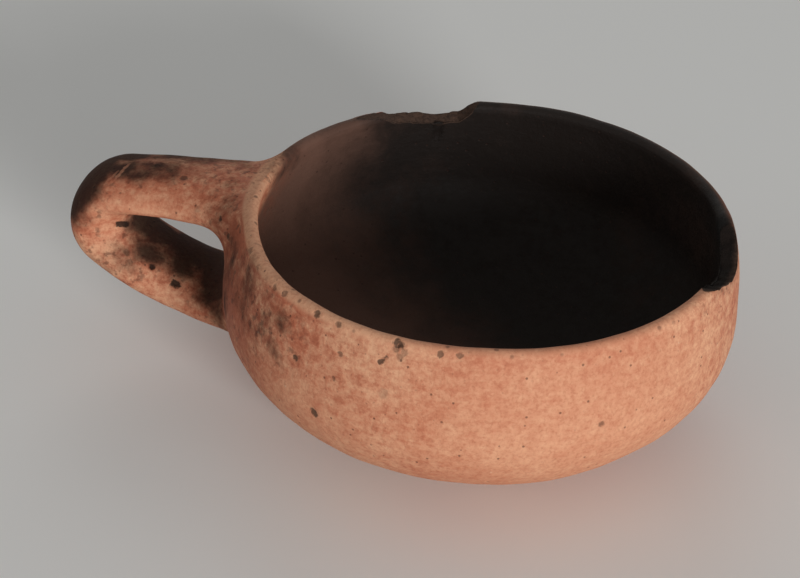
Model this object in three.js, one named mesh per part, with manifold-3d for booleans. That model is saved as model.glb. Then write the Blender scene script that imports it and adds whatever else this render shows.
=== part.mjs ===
// Round-bodied red slip bowl with an incurved rim and one loop handle, in fired clay.
// Millimetres, +Z up. The origin is the centre of the flat base, and the handle points along -X.
import * as THREE from "three";
import { mergeVertices } from "three/addons/utils/BufferGeometryUtils.js";
import Module from "manifold-3d";

// Bowl
const BOWL_HEIGHT = 71; // base to the crest of the lip
const RIM_RADIUS = 75; // circle along the crest of the lip
const LIP_THICKNESS = 5.2; // the lip is a half round of this width
const BELLY_SWELL = 6.6; // how far the widest place stands out past the crest of the lip
const WIDEST_HEIGHT = 42.6; // height of the widest place
const BASE_RADIUS = 30; // flat that the bowl stands on
const WALL_THICKNESS = 6.2; // at the widest place
const FLOOR_THICKNESS = 8.5; // at the centre of the base

// Handle: a strap with an upper arm level with the rim, a tight bend and a bowed lower arm
const HANDLE_LENGTH = 56.4; // widest place of the bowl to the outside of the bend
const HANDLE_WIDTH = 32.5; // along the rim
const UPPER_ARM_OUTSIDE = 8.75; // middle line of the strap to its outer face, at the rim
const LOWER_ARM_OUTSIDE = 7.75; // the same at the belly
const UPPER_ARM_INSIDE = 5.9; // middle line to the inner face, along the upper arm
const LOWER_ARM_INSIDE = 8.4; // the same where the lower arm meets the belly
const HANDLE_DROP = 0.4; // top of the strap below the crest of the lip, at the rim
const UPPER_ARM_FALL = 5.8; // degrees that the upper arm falls on its way out
const BEND_RADIUS = 10.15; // bend of the middle line
const BEND_END = 52; // degrees below level at which the bend passes into the lower arm
const BEND_THICKNESS = 22.4; // outside of the bend to the end of the finger gap
const GAP_END_RADIUS = 4.9; // round at the end of the finger gap
const ROOT_SPACING = 37.55; // height between the places where the two arms' middle lines meet the wall
const ROOT_DEPTH = 10; // length of the strap inside the wall's line before it is cut to its seat
const ROOT_SPREAD = 7.8; // extra width of the strap where it is pressed on the wall
const ROOT_SPREAD_LENGTH = 26; // length over which the strap spreads

// Luting clay worked into the corners where the handle meets the wall
const UPPER_FILLET = 12; // reach of the clay along the strap and along the wall
const LOWER_FILLET = 10;
const FILLET_EDGE = 0.9; // height of the clay's edges over the surfaces that it lies on
const FILLET_BITE = 1.5; // depth of the clay under both surfaces before it is cut to its seat
const UPPER_FILLET_START = 62; // degrees from the strap's top line, on each side
const FILLET_END_SHARE = 0.35; // size of the clay at those two ends

const SEAT_GAP = 0.3; // between pieces that seat on each other
const CLEAR_ABOVE = 20; // how far cutters stand above the rim

// Losses along the rim, a flat break behind and a broken edge opposite the handle: the angle from +X
// and the outline of the loss, as [distance along the rim, height against the crest].
const RIM_LOSSES = [
  { angle: 116, outline: [[-13, 1], [-7, -3.6], [0, -5.9], [10, -5.4], [20, -3.4], [30, -1.4], [42, 1]] },
  { angle: 1, outline: [[-27, 1], [-15, -2.2], [-5, -5.4], [4, -6], [13, -3], [21, 1]] },
];
const LOSS_CUT_DEPTH = 34; // radial length of the cutters, across the curve of the rim

// Fineness of the facets
const BOWL_SEGMENTS = 64;
const OUTER_BELLY_STEPS = 13;
const OUTER_SHOULDER_STEPS = 6;
const INNER_BELLY_STEPS = 11;
const INNER_SHOULDER_STEPS = 5;
const LIP_STEPS = 8;
const LOSS_CURVE_STEPS = 12;
const HANDLE_STEPS = 44;
const HANDLE_SIDES = 22;
const FILLET_STEPS = 48;
const FILLET_SIDES = 5;
const SEAT_SEARCH_STEPS = 40;
const SLOPE_STEP = 0.5; // height step for the wall's slope
const HANDLE_MIDDLE = 0.5; // share of the handle's length at the bend

const radians = THREE.MathUtils.degToRad;

const wasm = await Module();
wasm.setup();

// A closed geometry as a solid that can be joined and cut.
function solidFrom(geometry) {
  const positions = new THREE.BufferGeometry();
  positions.setAttribute("position", geometry.getAttribute("position"));
  positions.setIndex(geometry.index);
  const merged = mergeVertices(positions);
  const mesh = new wasm.Mesh({
    numProp: 3,
    vertProperties: merged.attributes.position.array,
    triVerts: new Uint32Array(merged.index.array),
  });
  return new wasm.Manifold(mesh);
}

// A solid as a geometry with flat facets.
function geometryFrom(solid) {
  const mesh = solid.getMesh();
  const geometry = new THREE.BufferGeometry();
  geometry.setAttribute("position", new THREE.BufferAttribute(new Float32Array(mesh.vertProperties), 3));
  geometry.setIndex(new THREE.BufferAttribute(new Uint32Array(mesh.triVerts), 1));
  geometry.computeVertexNormals();
  return geometry;
}

// A profile of [radius, height] points turned about +Z.
function revolve(profile) {
  const points = profile.map(([radius, height]) => new THREE.Vector2(radius, height));
  return new THREE.LatheGeometry(points, BOWL_SEGMENTS).rotateX(Math.PI / 2);
}

// Rings of equal length joined into one closed skin. The first point of an end ring sees all the others.
function loft(rings, endless) {
  const sides = rings[0].length;
  const count = rings.length;
  const index = [];
  for (let i = 0; i < (endless ? count : count - 1); i++) {
    for (let j = 0; j < sides; j++) {
      const next = (i + 1) % count;
      const a = i * sides + j;
      const b = i * sides + ((j + 1) % sides);
      const c = next * sides + ((j + 1) % sides);
      const d = next * sides + j;
      index.push(a, b, c, a, c, d);
    }
  }
  if (!endless) {
    const last = (count - 1) * sides;
    for (let j = 1; j < sides - 1; j++) {
      index.push(0, j + 1, j);
      index.push(last, last + j, last + j + 1);
    }
  }
  const geometry = new THREE.BufferGeometry().setFromPoints(rings.flat());
  geometry.setIndex(index);
  return geometry;
}

// Shape of the bowl's wall. Each side has an elliptical belly below the widest place and a shoulder
// that leans in above it as a parabola, and a round lip joins the two sides.
const bodyRadius = RIM_RADIUS + BELLY_SWELL;
const lipRadius = LIP_THICKNESS / 2;
const lipHeight = BOWL_HEIGHT - lipRadius;

function wallSide(sign, bellyRadius, bellyDepth) {
  const lean = Math.atan2(2 * (bellyRadius - RIM_RADIUS - sign * lipRadius), lipHeight - WIDEST_HEIGHT);
  const topRadius = RIM_RADIUS + sign * lipRadius * Math.cos(lean);
  const topHeight = lipHeight + sign * lipRadius * Math.sin(lean);
  return { lean, bellyRadius, bellyDepth, topRadius, topHeight };
}

const baseShare = BASE_RADIUS / bodyRadius;
const outside = wallSide(1, bodyRadius, WIDEST_HEIGHT / Math.sqrt(1 - baseShare ** 2));
const inside = wallSide(-1, bodyRadius - WALL_THICKNESS, WIDEST_HEIGHT - FLOOR_THICKNESS);

function shoulderRadius(side, height) {
  const rise = (height - WIDEST_HEIGHT) / (side.topHeight - WIDEST_HEIGHT);
  return side.bellyRadius - (side.bellyRadius - side.topRadius) * rise ** 2;
}

// Outside radius of the wall at a height, with the outer half of the lip above the shoulder.
function outerRadius(height) {
  if (height < WIDEST_HEIGHT) {
    const drop = Math.min(1, (WIDEST_HEIGHT - height) / outside.bellyDepth);
    return outside.bellyRadius * Math.sqrt(1 - drop ** 2);
  }
  if (height < outside.topHeight) return shoulderRadius(outside, height);
  const rise = Math.min(lipRadius, height - lipHeight);
  return RIM_RADIUS + Math.sqrt(lipRadius ** 2 - rise ** 2);
}

// Profile points of one side, from its lowest angle on the belly up to the lip.
function sidePoints(side, lowestAngle, bellySteps, shoulderSteps) {
  const points = [];
  for (let i = 0; i < bellySteps; i++) {
    const angle = lowestAngle * (1 - i / bellySteps);
    points.push([side.bellyRadius * Math.cos(angle), WIDEST_HEIGHT - side.bellyDepth * Math.sin(angle)]);
  }
  for (let i = 0; i < shoulderSteps; i++) {
    const height = THREE.MathUtils.lerp(WIDEST_HEIGHT, side.topHeight, i / shoulderSteps);
    points.push([shoulderRadius(side, height), height]);
  }
  return points;
}

// Points of the lip's round from the outer shoulder over the crest, up to an end angle.
function lipPoints(endAngle, steps) {
  const points = [];
  for (let i = 0; i <= steps; i++) {
    const angle = THREE.MathUtils.lerp(outside.lean, endAngle, i / steps);
    points.push([RIM_RADIUS + lipRadius * Math.cos(angle), lipHeight + lipRadius * Math.sin(angle)]);
  }
  return points;
}

const outerPoints = sidePoints(outside, Math.acos(baseShare), OUTER_BELLY_STEPS, OUTER_SHOULDER_STEPS);
const innerPoints = sidePoints(inside, Math.PI / 2, INNER_BELLY_STEPS, INNER_SHOULDER_STEPS);

// The bowl's outside as a solid block, grown by a gap, which also fills the space above the bowl.
function bowlBlock(gap) {
  const edge = [...outerPoints, ...lipPoints(Math.PI / 2, LIP_STEPS / 2)];
  const profile = edge.map(([radius, height], i, all) => {
    const [nextRadius, nextHeight] = all[Math.min(i + 1, all.length - 1)];
    const [lastRadius, lastHeight] = all[Math.max(i - 1, 0)];
    const out = new THREE.Vector2(nextHeight - lastHeight, lastRadius - nextRadius).normalize();
    return [radius + gap * out.x, height + gap * out.y];
  });
  const top = BOWL_HEIGHT + CLEAR_ABOVE;
  return solidFrom(revolve([[0, profile[0][1]], ...profile, [profile.at(-1)[0], top], [0, top]]));
}

// One loss in the rim, as a block pushed through the wall along its radius.
function lossCutter({ angle, outline }) {
  const shape = new THREE.Shape();
  shape.moveTo(outline[0][0], outline[0][1]);
  shape.splineThru(outline.slice(1).map(([along, height]) => new THREE.Vector2(along, height)));
  shape.lineTo(outline.at(-1)[0], CLEAR_ABOVE);
  shape.lineTo(outline[0][0], CLEAR_ABOVE);
  const block = new THREE.ExtrudeGeometry(shape, {
    depth: LOSS_CUT_DEPTH,
    bevelEnabled: false,
    curveSegments: LOSS_CURVE_STEPS,
  });
  const turn = radians(angle);
  const outward = new THREE.Vector3(Math.cos(turn), Math.sin(turn), 0);
  const along = new THREE.Vector3(-Math.sin(turn), Math.cos(turn), 0);
  const up = new THREE.Vector3(0, 0, 1);
  const place = new THREE.Matrix4().makeBasis(along, up, outward);
  place.setPosition(outward.multiplyScalar(RIM_RADIUS - LOSS_CUT_DEPTH / 2).setZ(BOWL_HEIGHT));
  return solidFrom(block.applyMatrix4(place));
}

function bowlBody() {
  const profile = [
    [0, 0],
    ...outerPoints,
    ...lipPoints(Math.PI + inside.lean, LIP_STEPS),
    ...innerPoints.toReversed(),
  ];
  const whole = solidFrom(revolve(profile));
  const broken = RIM_LOSSES.reduce((solid, loss) => solid.subtract(lossCutter(loss)), whole);
  return geometryFrom(broken);
}

// Middle line of the handle in the plane of -X and Z, as [distance from the axis, height].
const handleReach = bodyRadius + HANDLE_LENGTH;
const bendOutside = (UPPER_ARM_OUTSIDE + LOWER_ARM_OUTSIDE) / 2;
const armHeight = BOWL_HEIGHT - HANDLE_DROP - UPPER_ARM_OUTSIDE;
const armSeat = new THREE.Vector2(outerRadius(armHeight), armHeight);
const armFall = radians(UPPER_ARM_FALL);
const armWay = new THREE.Vector2(Math.cos(armFall), -Math.sin(armFall));
const armOut = new THREE.Vector2(Math.sin(armFall), Math.cos(armFall));
const armStart = armSeat.clone().addScaledVector(armWay, -ROOT_DEPTH);

// Centre of a round that lies at a depth under the upper arm's middle line, at a distance from the axis.
function underArm(distance, depth) {
  const length = (distance - armSeat.x + depth * armOut.x) / armWay.x;
  return armSeat.clone().addScaledVector(armWay, length).addScaledVector(armOut, -depth);
}

const bendCentre = underArm(handleReach - bendOutside - BEND_RADIUS, BEND_RADIUS);
const armEnd = bendCentre.clone().addScaledVector(armOut, BEND_RADIUS);
const bendStartAngle = Math.PI / 2 - armFall;

// The arc that carries on from the end of a round without a corner, meets a seat and runs on into the wall.
const bendEndAngle = radians(-BEND_END);
const bendEndWay = new THREE.Vector2(Math.cos(bendEndAngle), Math.sin(bendEndAngle));
function arcToSeat(roundCentre, roundRadius, seat) {
  const start = roundCentre.clone().addScaledVector(bendEndWay, roundRadius);
  const chord = seat.clone().sub(start);
  const radius = -chord.lengthSq() / (2 * chord.dot(bendEndWay));
  const centre = start.clone().addScaledVector(bendEndWay, -radius);
  const endAngle = seat.clone().sub(centre).angle() - 2 * Math.PI - ROOT_DEPTH / radius;
  return { start, radius, centre, endAngle };
}

const lowerRootHeight = armHeight - ROOT_SPACING;
const lowerSeat = new THREE.Vector2(outerRadius(lowerRootHeight), lowerRootHeight);
const bow = arcToSeat(bendCentre, BEND_RADIUS, lowerSeat);

const handleLine = new THREE.Path();
handleLine.moveTo(armStart.x, armStart.y);
handleLine.lineTo(armEnd.x, armEnd.y);
handleLine.absarc(bendCentre.x, bendCentre.y, BEND_RADIUS, bendStartAngle, bendEndAngle, true);
handleLine.absarc(bow.centre.x, bow.centre.y, bow.radius, bendEndAngle, bow.endAngle, true);
const handleLength = handleLine.getLength();

// Inner line of the strap, round the finger gap: straight under the upper arm, then the gap's round end,
// then an arc over the lower arm. The shares are those of the middle line across from its corners.
const gapCentre = underArm(handleReach - BEND_THICKNESS - GAP_END_RADIUS, UPPER_ARM_INSIDE + GAP_END_RADIUS);
const gapStart = armStart.clone().addScaledVector(armOut, -UPPER_ARM_INSIDE);
const gapTop = gapCentre.clone().addScaledVector(armOut, GAP_END_RADIUS);
const gapTopShare = gapTop.distanceTo(gapStart) / handleLength;
const gapFloorSeat = lowerSeat.clone().lerp(bow.centre, LOWER_ARM_INSIDE / bow.radius);
const gapFloor = arcToSeat(gapCentre, GAP_END_RADIUS, gapFloorSeat);
const acrossAngle = gapFloor.start.clone().sub(bow.centre).angle() - 2 * Math.PI;
const gapFloorShare = 1 - (bow.radius * (acrossAngle - bow.endAngle)) / handleLength;

// Point of the inner line across from a share of the middle line.
function gapPoint(share) {
  const { mapLinear } = THREE.MathUtils;
  if (share < gapTopShare) return gapStart.clone().lerp(gapTop, share / gapTopShare);
  const onEnd = share < gapFloorShare;
  const angle = onEnd
    ? mapLinear(share, gapTopShare, gapFloorShare, bendStartAngle, bendEndAngle)
    : mapLinear(share, gapFloorShare, 1, bendEndAngle, gapFloor.endAngle);
  const [centre, radius] = onEnd ? [gapCentre, GAP_END_RADIUS] : [gapFloor.centre, gapFloor.radius];
  return new THREE.Vector2(Math.cos(angle), Math.sin(angle)).multiplyScalar(radius).add(centre);
}

// Point on the strap's skin, at a share of its length and an angle round it from its outer face.
function handlePoint(share, angle, growth = 0) {
  const middle = handleLine.getPointAt(share);
  const along = handleLine.getTangentAt(share);
  const fromWall = Math.min(share, 1 - share) * handleLength - ROOT_DEPTH;
  const spread = ROOT_SPREAD * (1 - THREE.MathUtils.smoothstep(fromWall, 0, ROOT_SPREAD_LENGTH));
  const outside = THREE.MathUtils.lerp(UPPER_ARM_OUTSIDE, LOWER_ARM_OUTSIDE, share);
  const outward = new THREE.Vector2(-along.y, along.x).multiplyScalar(outside + growth);
  const inward = gapPoint(share).sub(middle);
  inward.setLength(inward.length() + growth);
  const across = Math.cos(angle);
  const flat = middle.clone().addScaledVector(across > 0 ? outward : inward, Math.abs(across));
  const side = ((HANDLE_WIDTH + spread) / 2 + growth) * Math.sin(angle);
  return new THREE.Vector3(-flat.x, side, flat.y);
}

function handleSolid(growth) {
  const rings = [];
  for (let i = 0; i <= HANDLE_STEPS; i++) {
    const ring = [];
    for (let j = 0; j < HANDLE_SIDES; j++) {
      ring.push(handlePoint(i / HANDLE_STEPS, (2 * Math.PI * j) / HANDLE_SIDES, growth));
    }
    rings.push(ring);
  }
  return solidFrom(loft(rings, false));
}

function loopHandle() {
  return geometryFrom(handleSolid(0).subtract(bowlBlock(SEAT_GAP)));
}

// How far a point lies outside the wall.
function wallDistance(point) {
  return Math.hypot(point.x, point.y) - outerRadius(point.z);
}

// Share of the handle's length at which a line along its skin comes out of the wall.
function seatShare(angle, endShare) {
  let low = endShare;
  let high = HANDLE_MIDDLE;
  for (let i = 0; i < SEAT_SEARCH_STEPS; i++) {
    const middle = (low + high) / 2;
    if (wallDistance(handlePoint(middle, angle)) < 0) low = middle;
    else high = middle;
  }
  return low;
}

// Unit vector out of the wall at a point on it.
function wallNormal(point) {
  const slope = outerRadius(point.z + SLOPE_STEP) - outerRadius(point.z - SLOPE_STEP);
  const out = new THREE.Vector3(point.x, point.y, 0).normalize();
  out.z = -slope / (2 * SLOPE_STEP);
  return out.normalize();
}

// A point moved level to the wall's surface.
function onWallAt(point) {
  const share = outerRadius(point.z) / Math.hypot(point.x, point.y);
  return new THREE.Vector3(point.x * share, point.y * share, point.z);
}

// Section of the luting clay at one angle round the strap: a hollow curve from the strap to the wall,
// with an edge at both ends, closed under both surfaces.
function filletSection(angle, endShare, reach) {
  const seat = seatShare(angle, endShare);
  const corner = handlePoint(seat, angle);
  const middle = handleLine.getPointAt(seat);
  const strapOut = corner.clone().sub(new THREE.Vector3(-middle.x, 0, middle.y)).normalize();
  const wallOut = wallNormal(corner);
  const alongWall = strapOut.clone().addScaledVector(wallOut, -strapOut.dot(wallOut)).normalize();
  const strapShare = seat + Math.sign(HANDLE_MIDDLE - seat) * (reach / handleLength);
  const strapEdge = handlePoint(strapShare, angle);
  const wallEdge = onWallAt(corner.clone().addScaledVector(alongWall, reach));
  const skin = new THREE.QuadraticBezierCurve3(
    strapEdge.clone().addScaledVector(strapOut, FILLET_EDGE),
    corner,
    wallEdge.clone().addScaledVector(wallNormal(wallEdge), FILLET_EDGE),
  );
  return [
    corner.clone().addScaledVector(strapOut, -FILLET_BITE).addScaledVector(wallOut, -FILLET_BITE),
    strapEdge.addScaledVector(strapOut, -FILLET_BITE),
    ...skin.getPoints(FILLET_SIDES),
    wallEdge.addScaledVector(wallNormal(wallEdge), -FILLET_BITE),
  ];
}

// Luting clay at one end of the handle, 0 for the rim and 1 for the belly: a ring round the strap,
// or a band that starts and ends at an angle from the strap's top line and thins towards its ends.
function lutingClay(endShare, reach, startAngle) {
  const start = radians(startAngle);
  const endless = start === 0;
  const sections = [];
  for (let i = 0; i < FILLET_STEPS + (endless ? 0 : 1); i++) {
    const share = i / FILLET_STEPS;
    const angle = THREE.MathUtils.lerp(start, 2 * Math.PI - start, share);
    const rise = Math.sqrt(Math.sin(Math.PI * share));
    const fullness = endless ? 1 : THREE.MathUtils.lerp(FILLET_END_SHARE, 1, rise);
    sections.push(filletSection(angle, endShare, reach * fullness));
  }
  if (endShare === 1) sections.reverse();
  const clay = solidFrom(loft(sections, endless));
  return geometryFrom(clay.subtract(handleSolid(SEAT_GAP)).subtract(bowlBlock(SEAT_GAP)));
}

// The finished pieces
function piece(name, geometry, color, roughness) {
  const material = new THREE.MeshStandardMaterial({ color, roughness, metalness: 0 });
  const mesh = new THREE.Mesh(geometry, material);
  mesh.name = name;
  return mesh;
}

const bowl = new THREE.Group();
bowl.add(
  piece("bowl_body", bowlBody(), 0x9c5a46, 0.72),
  piece("loop_handle", loopHandle(), 0x8a5242, 0.76),
  piece("upper_luting_clay", lutingClay(0, UPPER_FILLET, UPPER_FILLET_START), 0x945646, 0.78),
  piece("lower_luting_clay", lutingClay(1, LOWER_FILLET, 0), 0x945646, 0.78),
);

export default bowl;
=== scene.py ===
"""Worn red slip bowl with one loop handle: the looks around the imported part.

Shapes are worked out in millimetres in the bowl's own frame, with the origin in the middle of the base,
+Z up and the handle along -X. They turn into metres where a mesh, a lamp or the camera is made.
"""

import logging
import math
from dataclasses import dataclass, field, replace
from enum import Enum
from functools import cached_property, reduce
from typing import Any

import bpy
import numpy as np
from mathutils import Matrix, Vector, noise


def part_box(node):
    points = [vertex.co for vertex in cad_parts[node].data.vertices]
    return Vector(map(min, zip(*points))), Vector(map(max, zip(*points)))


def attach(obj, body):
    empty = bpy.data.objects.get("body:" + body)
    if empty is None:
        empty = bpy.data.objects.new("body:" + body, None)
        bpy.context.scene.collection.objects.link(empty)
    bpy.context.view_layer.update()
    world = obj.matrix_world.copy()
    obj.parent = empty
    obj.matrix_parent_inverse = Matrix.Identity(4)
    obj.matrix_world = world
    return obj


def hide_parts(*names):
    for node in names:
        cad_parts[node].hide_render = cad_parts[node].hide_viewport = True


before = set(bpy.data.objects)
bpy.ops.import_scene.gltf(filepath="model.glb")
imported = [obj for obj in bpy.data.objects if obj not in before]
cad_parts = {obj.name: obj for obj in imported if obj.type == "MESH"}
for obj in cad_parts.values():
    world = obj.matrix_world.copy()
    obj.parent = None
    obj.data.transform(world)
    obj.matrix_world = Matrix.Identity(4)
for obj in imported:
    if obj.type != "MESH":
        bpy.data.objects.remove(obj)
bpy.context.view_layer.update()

LOG = logging.getLogger("red_slip_bowl")
MM = 0.001
TINY = 1e-9
BODY = "root"
IMAGE_WIDTH = 800

Place = tuple[float, float, float]


class Coat(Enum):
    """What lies on the clay, painted light and shade among it, kept on the mesh's points: 0 for none of it, 1
    and above for all of it.
    """

    INSIDE = "inside"
    # Painted shade on the inside, darker deeper down and on one side.
    SMOKED = "smoked"
    BROKEN = "broken"
    # Wear on the foot and the lip; the lip's pale band is partly painted light, palest on the side that faces
    # the light.
    WORN = "worn"
    # Rubbing, and painted light that makes the front and the lower belly paler.
    RUBBED = "rubbed"
    # Thick slip, and painted shade on the wall beside the handle.
    THICK = "thick"
    # Soot, and painted shade inside the handle's loop, round its roots, on the wall beside it and on the far
    # break.
    SOOT = "soot"


class Root(Enum):
    """The two ends of the handle, each as its share of the handle's length."""

    RIM = 0.0
    BELLY = 1.0


def ease(values: np.ndarray, low: float, high: float) -> np.ndarray:
    """Smooth step over values.

    Args:
        values: Any numbers.
        low: Number at which the step starts with 0.
        high: Number at which the step ends with 1; it may be below low.

    Returns:
        Shares from 0 to 1.
    """
    share = np.clip((values - low) / (high - low), 0.0, 1.0)
    return share * share * (3.0 - 2.0 * share)


def lumps(points: np.ndarray, size: float, octaves: int = 1, seed: float = 0.0) -> np.ndarray:
    """Smooth noise in space, the same on every run.

    Args:
        points: Places in millimetres, one to a row.
        size: Size of the largest lumps in millimetres.
        octaves: Layers of lumps, each half as large as the last.
        seed: Shifts the pattern, so that two uses differ.

    Returns:
        One value to a point, mostly between -1 and 1.
    """
    places = (points / size + seed).tolist()
    return np.fromiter((noise.fractal(place, 1.0, 2.0, octaves) for place in places), float, len(places))


def unit(vectors: np.ndarray) -> np.ndarray:
    """Vectors of length 1 along the given ones, one to a row."""
    return vectors / np.maximum(np.linalg.norm(vectors, axis=-1, keepdims=True), TINY)


def put_in_scene(name: str, data: bpy.types.ID) -> bpy.types.Object:
    """Adds an object to the scene.

    Args:
        name: The object's name.
        data: Its mesh, lamp or camera.

    Returns:
        The new object.
    """
    made = bpy.data.objects.new(name, data)
    bpy.context.scene.collection.objects.link(made)
    return made


@dataclass(frozen=True)
class WallFace:
    """One face of the wall: an elliptical belly, and a shoulder that leans in above the widest place."""

    belly_radius: float
    belly_depth: float
    widest_height: float
    top_radius: float
    top_height: float
    lean: float

    def radius(self, height: np.ndarray) -> np.ndarray:
        """Radius of the face.

        Args:
            height: Heights over the base.

        Returns:
            The radius at each height.
        """
        drop = np.clip((self.widest_height - height) / self.belly_depth, 0.0, 1.0)
        rise = np.maximum((height - self.widest_height) / (self.top_height - self.widest_height), 0.0)
        belly = self.belly_radius * np.sqrt(1.0 - drop**2)
        return belly - (self.belly_radius - self.top_radius) * rise**2


@dataclass
class BowlShape:
    """Sizes of the bowl's wall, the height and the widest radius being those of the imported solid."""

    height: float
    body_radius: float
    belly_swell: float = 6.6
    lip_thickness: float = 5.2
    widest_height: float = 42.6
    base_radius: float = 30.0
    wall_thickness: float = 6.2
    floor_thickness: float = 8.5
    track_steps: int = 1200

    @classmethod
    def from_frame(cls) -> "BowlShape":
        """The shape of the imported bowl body."""
        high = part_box("bowl_body")[1] / MM
        return cls(height=high.z, body_radius=high.x)

    @property
    def rim_radius(self) -> float:
        """Radius of the crest of the lip."""
        return self.body_radius - self.belly_swell

    @property
    def lip_radius(self) -> float:
        """Radius of the lip's round."""
        return self.lip_thickness / 2

    @property
    def lip_height(self) -> float:
        """Height of the middle of the lip's round."""
        return self.height - self.lip_radius

    def _face(self, sign: int, belly_radius: float, belly_depth: float) -> WallFace:
        """One face, made to run into the lip's round without a corner.

        Args:
            sign: 1 for the outside and -1 for the inside.
            belly_radius: Radius at the widest place.
            belly_depth: Half height of the belly's ellipse.

        Returns:
            The face.
        """
        inset = belly_radius - self.rim_radius - sign * self.lip_radius
        lean = math.atan2(2 * inset, self.lip_height - self.widest_height)
        top_radius = self.rim_radius + sign * self.lip_radius * math.cos(lean)
        top_height = self.lip_height + sign * self.lip_radius * math.sin(lean)
        return WallFace(belly_radius, belly_depth, self.widest_height, top_radius, top_height, lean)

    @cached_property
    def outside(self) -> WallFace:
        """The outer face, whose belly ends in the flat base."""
        base_share = self.base_radius / self.body_radius
        return self._face(1, self.body_radius, self.widest_height / math.sqrt(1 - base_share**2))

    @cached_property
    def inside(self) -> WallFace:
        """The inner face, whose belly ends in the middle of the floor."""
        depth = self.widest_height - self.floor_thickness
        return self._face(-1, self.body_radius - self.wall_thickness, depth)

    def outer_radius(self, height: np.ndarray) -> np.ndarray:
        """Outside radius with the outer half of the lip.

        Args:
            height: Heights over the base.

        Returns:
            The radius at each height, that of the crest above the lip.
        """
        rise = np.clip(height - self.lip_height, -self.lip_radius, self.lip_radius)
        lip = self.rim_radius + np.sqrt(self.lip_radius**2 - rise**2)
        return np.where(height < self.outside.top_height, self.outside.radius(height), lip)

    @cached_property
    def track(self) -> tuple[np.ndarray, np.ndarray, np.ndarray]:
        """The outside as a line from the base to the crest of the lip.

        Returns:
            Length, radius and height along the line.
        """
        swing = np.linspace(-math.pi / 2, math.pi / 2, self.track_steps)
        height = self.height * (1 + np.sin(swing)) / 2
        radius = self.outer_radius(height)
        steps = np.hypot(np.diff(radius), np.diff(height))
        return np.concatenate(([0.0], np.cumsum(steps))), radius, height

    def on_wall(self, turn: np.ndarray, climb: np.ndarray) -> np.ndarray:
        """Points on the outside.

        Args:
            turn: Angles about the axis, from the handle's direction.
            climb: Lengths along the outside, from the base.

        Returns:
            One point to a row.
        """
        length, track_radius, track_height = self.track
        radius = np.interp(climb, length, track_radius)
        height = np.interp(climb, length, track_height)
        return np.stack([-radius * np.cos(turn), radius * np.sin(turn), height], -1)

    def climb_to(self, height: np.ndarray) -> np.ndarray:
        """Length along the outside from the base up to each height."""
        length, _, track_height = self.track
        return np.interp(height, track_height, length)

    def spot(self, angle: float, height: float) -> Place:
        """A place on the outside.

        Args:
            angle: Degrees about the axis, from +X.
            height: Height over the base.

        Returns:
            The place.
        """
        turn = np.array([math.pi - math.radians(angle)])
        return tuple(self.on_wall(turn, self.climb_to(np.array([height])))[0])


@dataclass(frozen=True)
class RimLoss:
    """A piece broken out of the rim, as an outline of [distance along the rim, height against the crest]."""

    angle: float
    outline: tuple[tuple[float, float], ...]

    def drop(self, turn: np.ndarray, rim_radius: float) -> np.ndarray:
        """Depth of the loss below the crest.

        Args:
            turn: Angles about the axis, from +X.
            rim_radius: Radius of the crest.

        Returns:
            The depth at each angle, 0 beside the loss.
        """
        away = (turn - math.radians(self.angle) + math.pi) % (2 * math.pi) - math.pi
        along, height = np.array(self.outline).T
        depth = -np.interp(rim_radius * np.sin(away), along, height)
        return np.where(np.abs(away) < math.pi / 2, np.maximum(depth, 0.0), 0.0)


@dataclass(frozen=True)
class Mark:
    """A pit, nick or scratch along a short line, from one side of its place to the other."""

    place: Place
    radius: float
    depth: float = 0.0
    way: Place = (0.0, 0.0, 0.0)
    stain: float = 1.0
    ragged: float = 0.3

    def away(self, points: np.ndarray) -> np.ndarray:
        """How far points lie from the mark's line.

        Args:
            points: Places in millimetres, one to a row.

        Returns:
            Distances in radii, uneven close to the mark, so that its edge is ragged.
        """
        way = np.array(self.way)
        offset = points - np.array(self.place)
        along = np.clip(offset @ way / max(way @ way, TINY), -1.0, 1.0)
        distance = np.linalg.norm(offset - along[:, None] * way, axis=1) / self.radius
        close = distance < 2.0
        distance[close] += self.ragged * lumps(points[close], 0.9 * self.radius, 2)
        return distance


@dataclass(frozen=True)
class Smudge:
    """Soot, grime, rubbing, thick slip, painted light or painted shade round a place, fading out over an
    ellipsoid.
    """

    place: Place
    radii: Place
    strength: float

    def share(self, points: np.ndarray) -> np.ndarray:
        """Strength of the smudge at each point."""
        distance = np.linalg.norm((points - np.array(self.place)) / np.array(self.radii), axis=1)
        return self.strength * (1.0 - ease(distance, 0.3, 1.3))


@dataclass
class Skin:
    """A closed surface before it becomes a mesh: its points, faces and coats."""

    points: np.ndarray
    quads: np.ndarray
    triangles: np.ndarray
    shown: np.ndarray
    coats: dict[Coat, np.ndarray] = field(default_factory=dict)

    @classmethod
    def capped(cls, rings: np.ndarray, ends: np.ndarray, ends_show: bool) -> "Skin":
        """A skin of rings, closed by one point at each end.

        Args:
            rings: Points by ring and column.
            ends: The two closing points, one to a row.
            ends_show: Whether the closing points can be seen.

        Returns:
            The skin, without coats.
        """
        columns = rings.shape[1]
        points = np.vstack([rings.reshape(-1, 3), ends])
        count = len(points) - 2
        caps = [
            fan(count, np.arange(columns)[::-1]),
            fan(count + 1, np.arange(count - columns, count)),
        ]
        shown = np.ones(len(points), bool)
        shown[count:] = ends_show
        return cls(points, grid_quads(len(rings), columns), np.vstack(caps), shown)

    def normals(self) -> np.ndarray:
        """Directions out of the surface, from the faces that show.

        Returns:
            A unit vector to a point.
        """
        doubled = np.column_stack([self.triangles, self.triangles[:, 2]])
        faces = np.vstack([self.quads, doubled]).astype(int)
        faces = faces[self.shown[faces].all(1)]
        corners = self.points[faces]
        out = np.cross(corners[:, 2] - corners[:, 0], corners[:, 3] - corners[:, 1])
        total = np.zeros_like(self.points)
        for column in faces.T:
            np.add.at(total, column, out)
        return unit(total)


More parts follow.
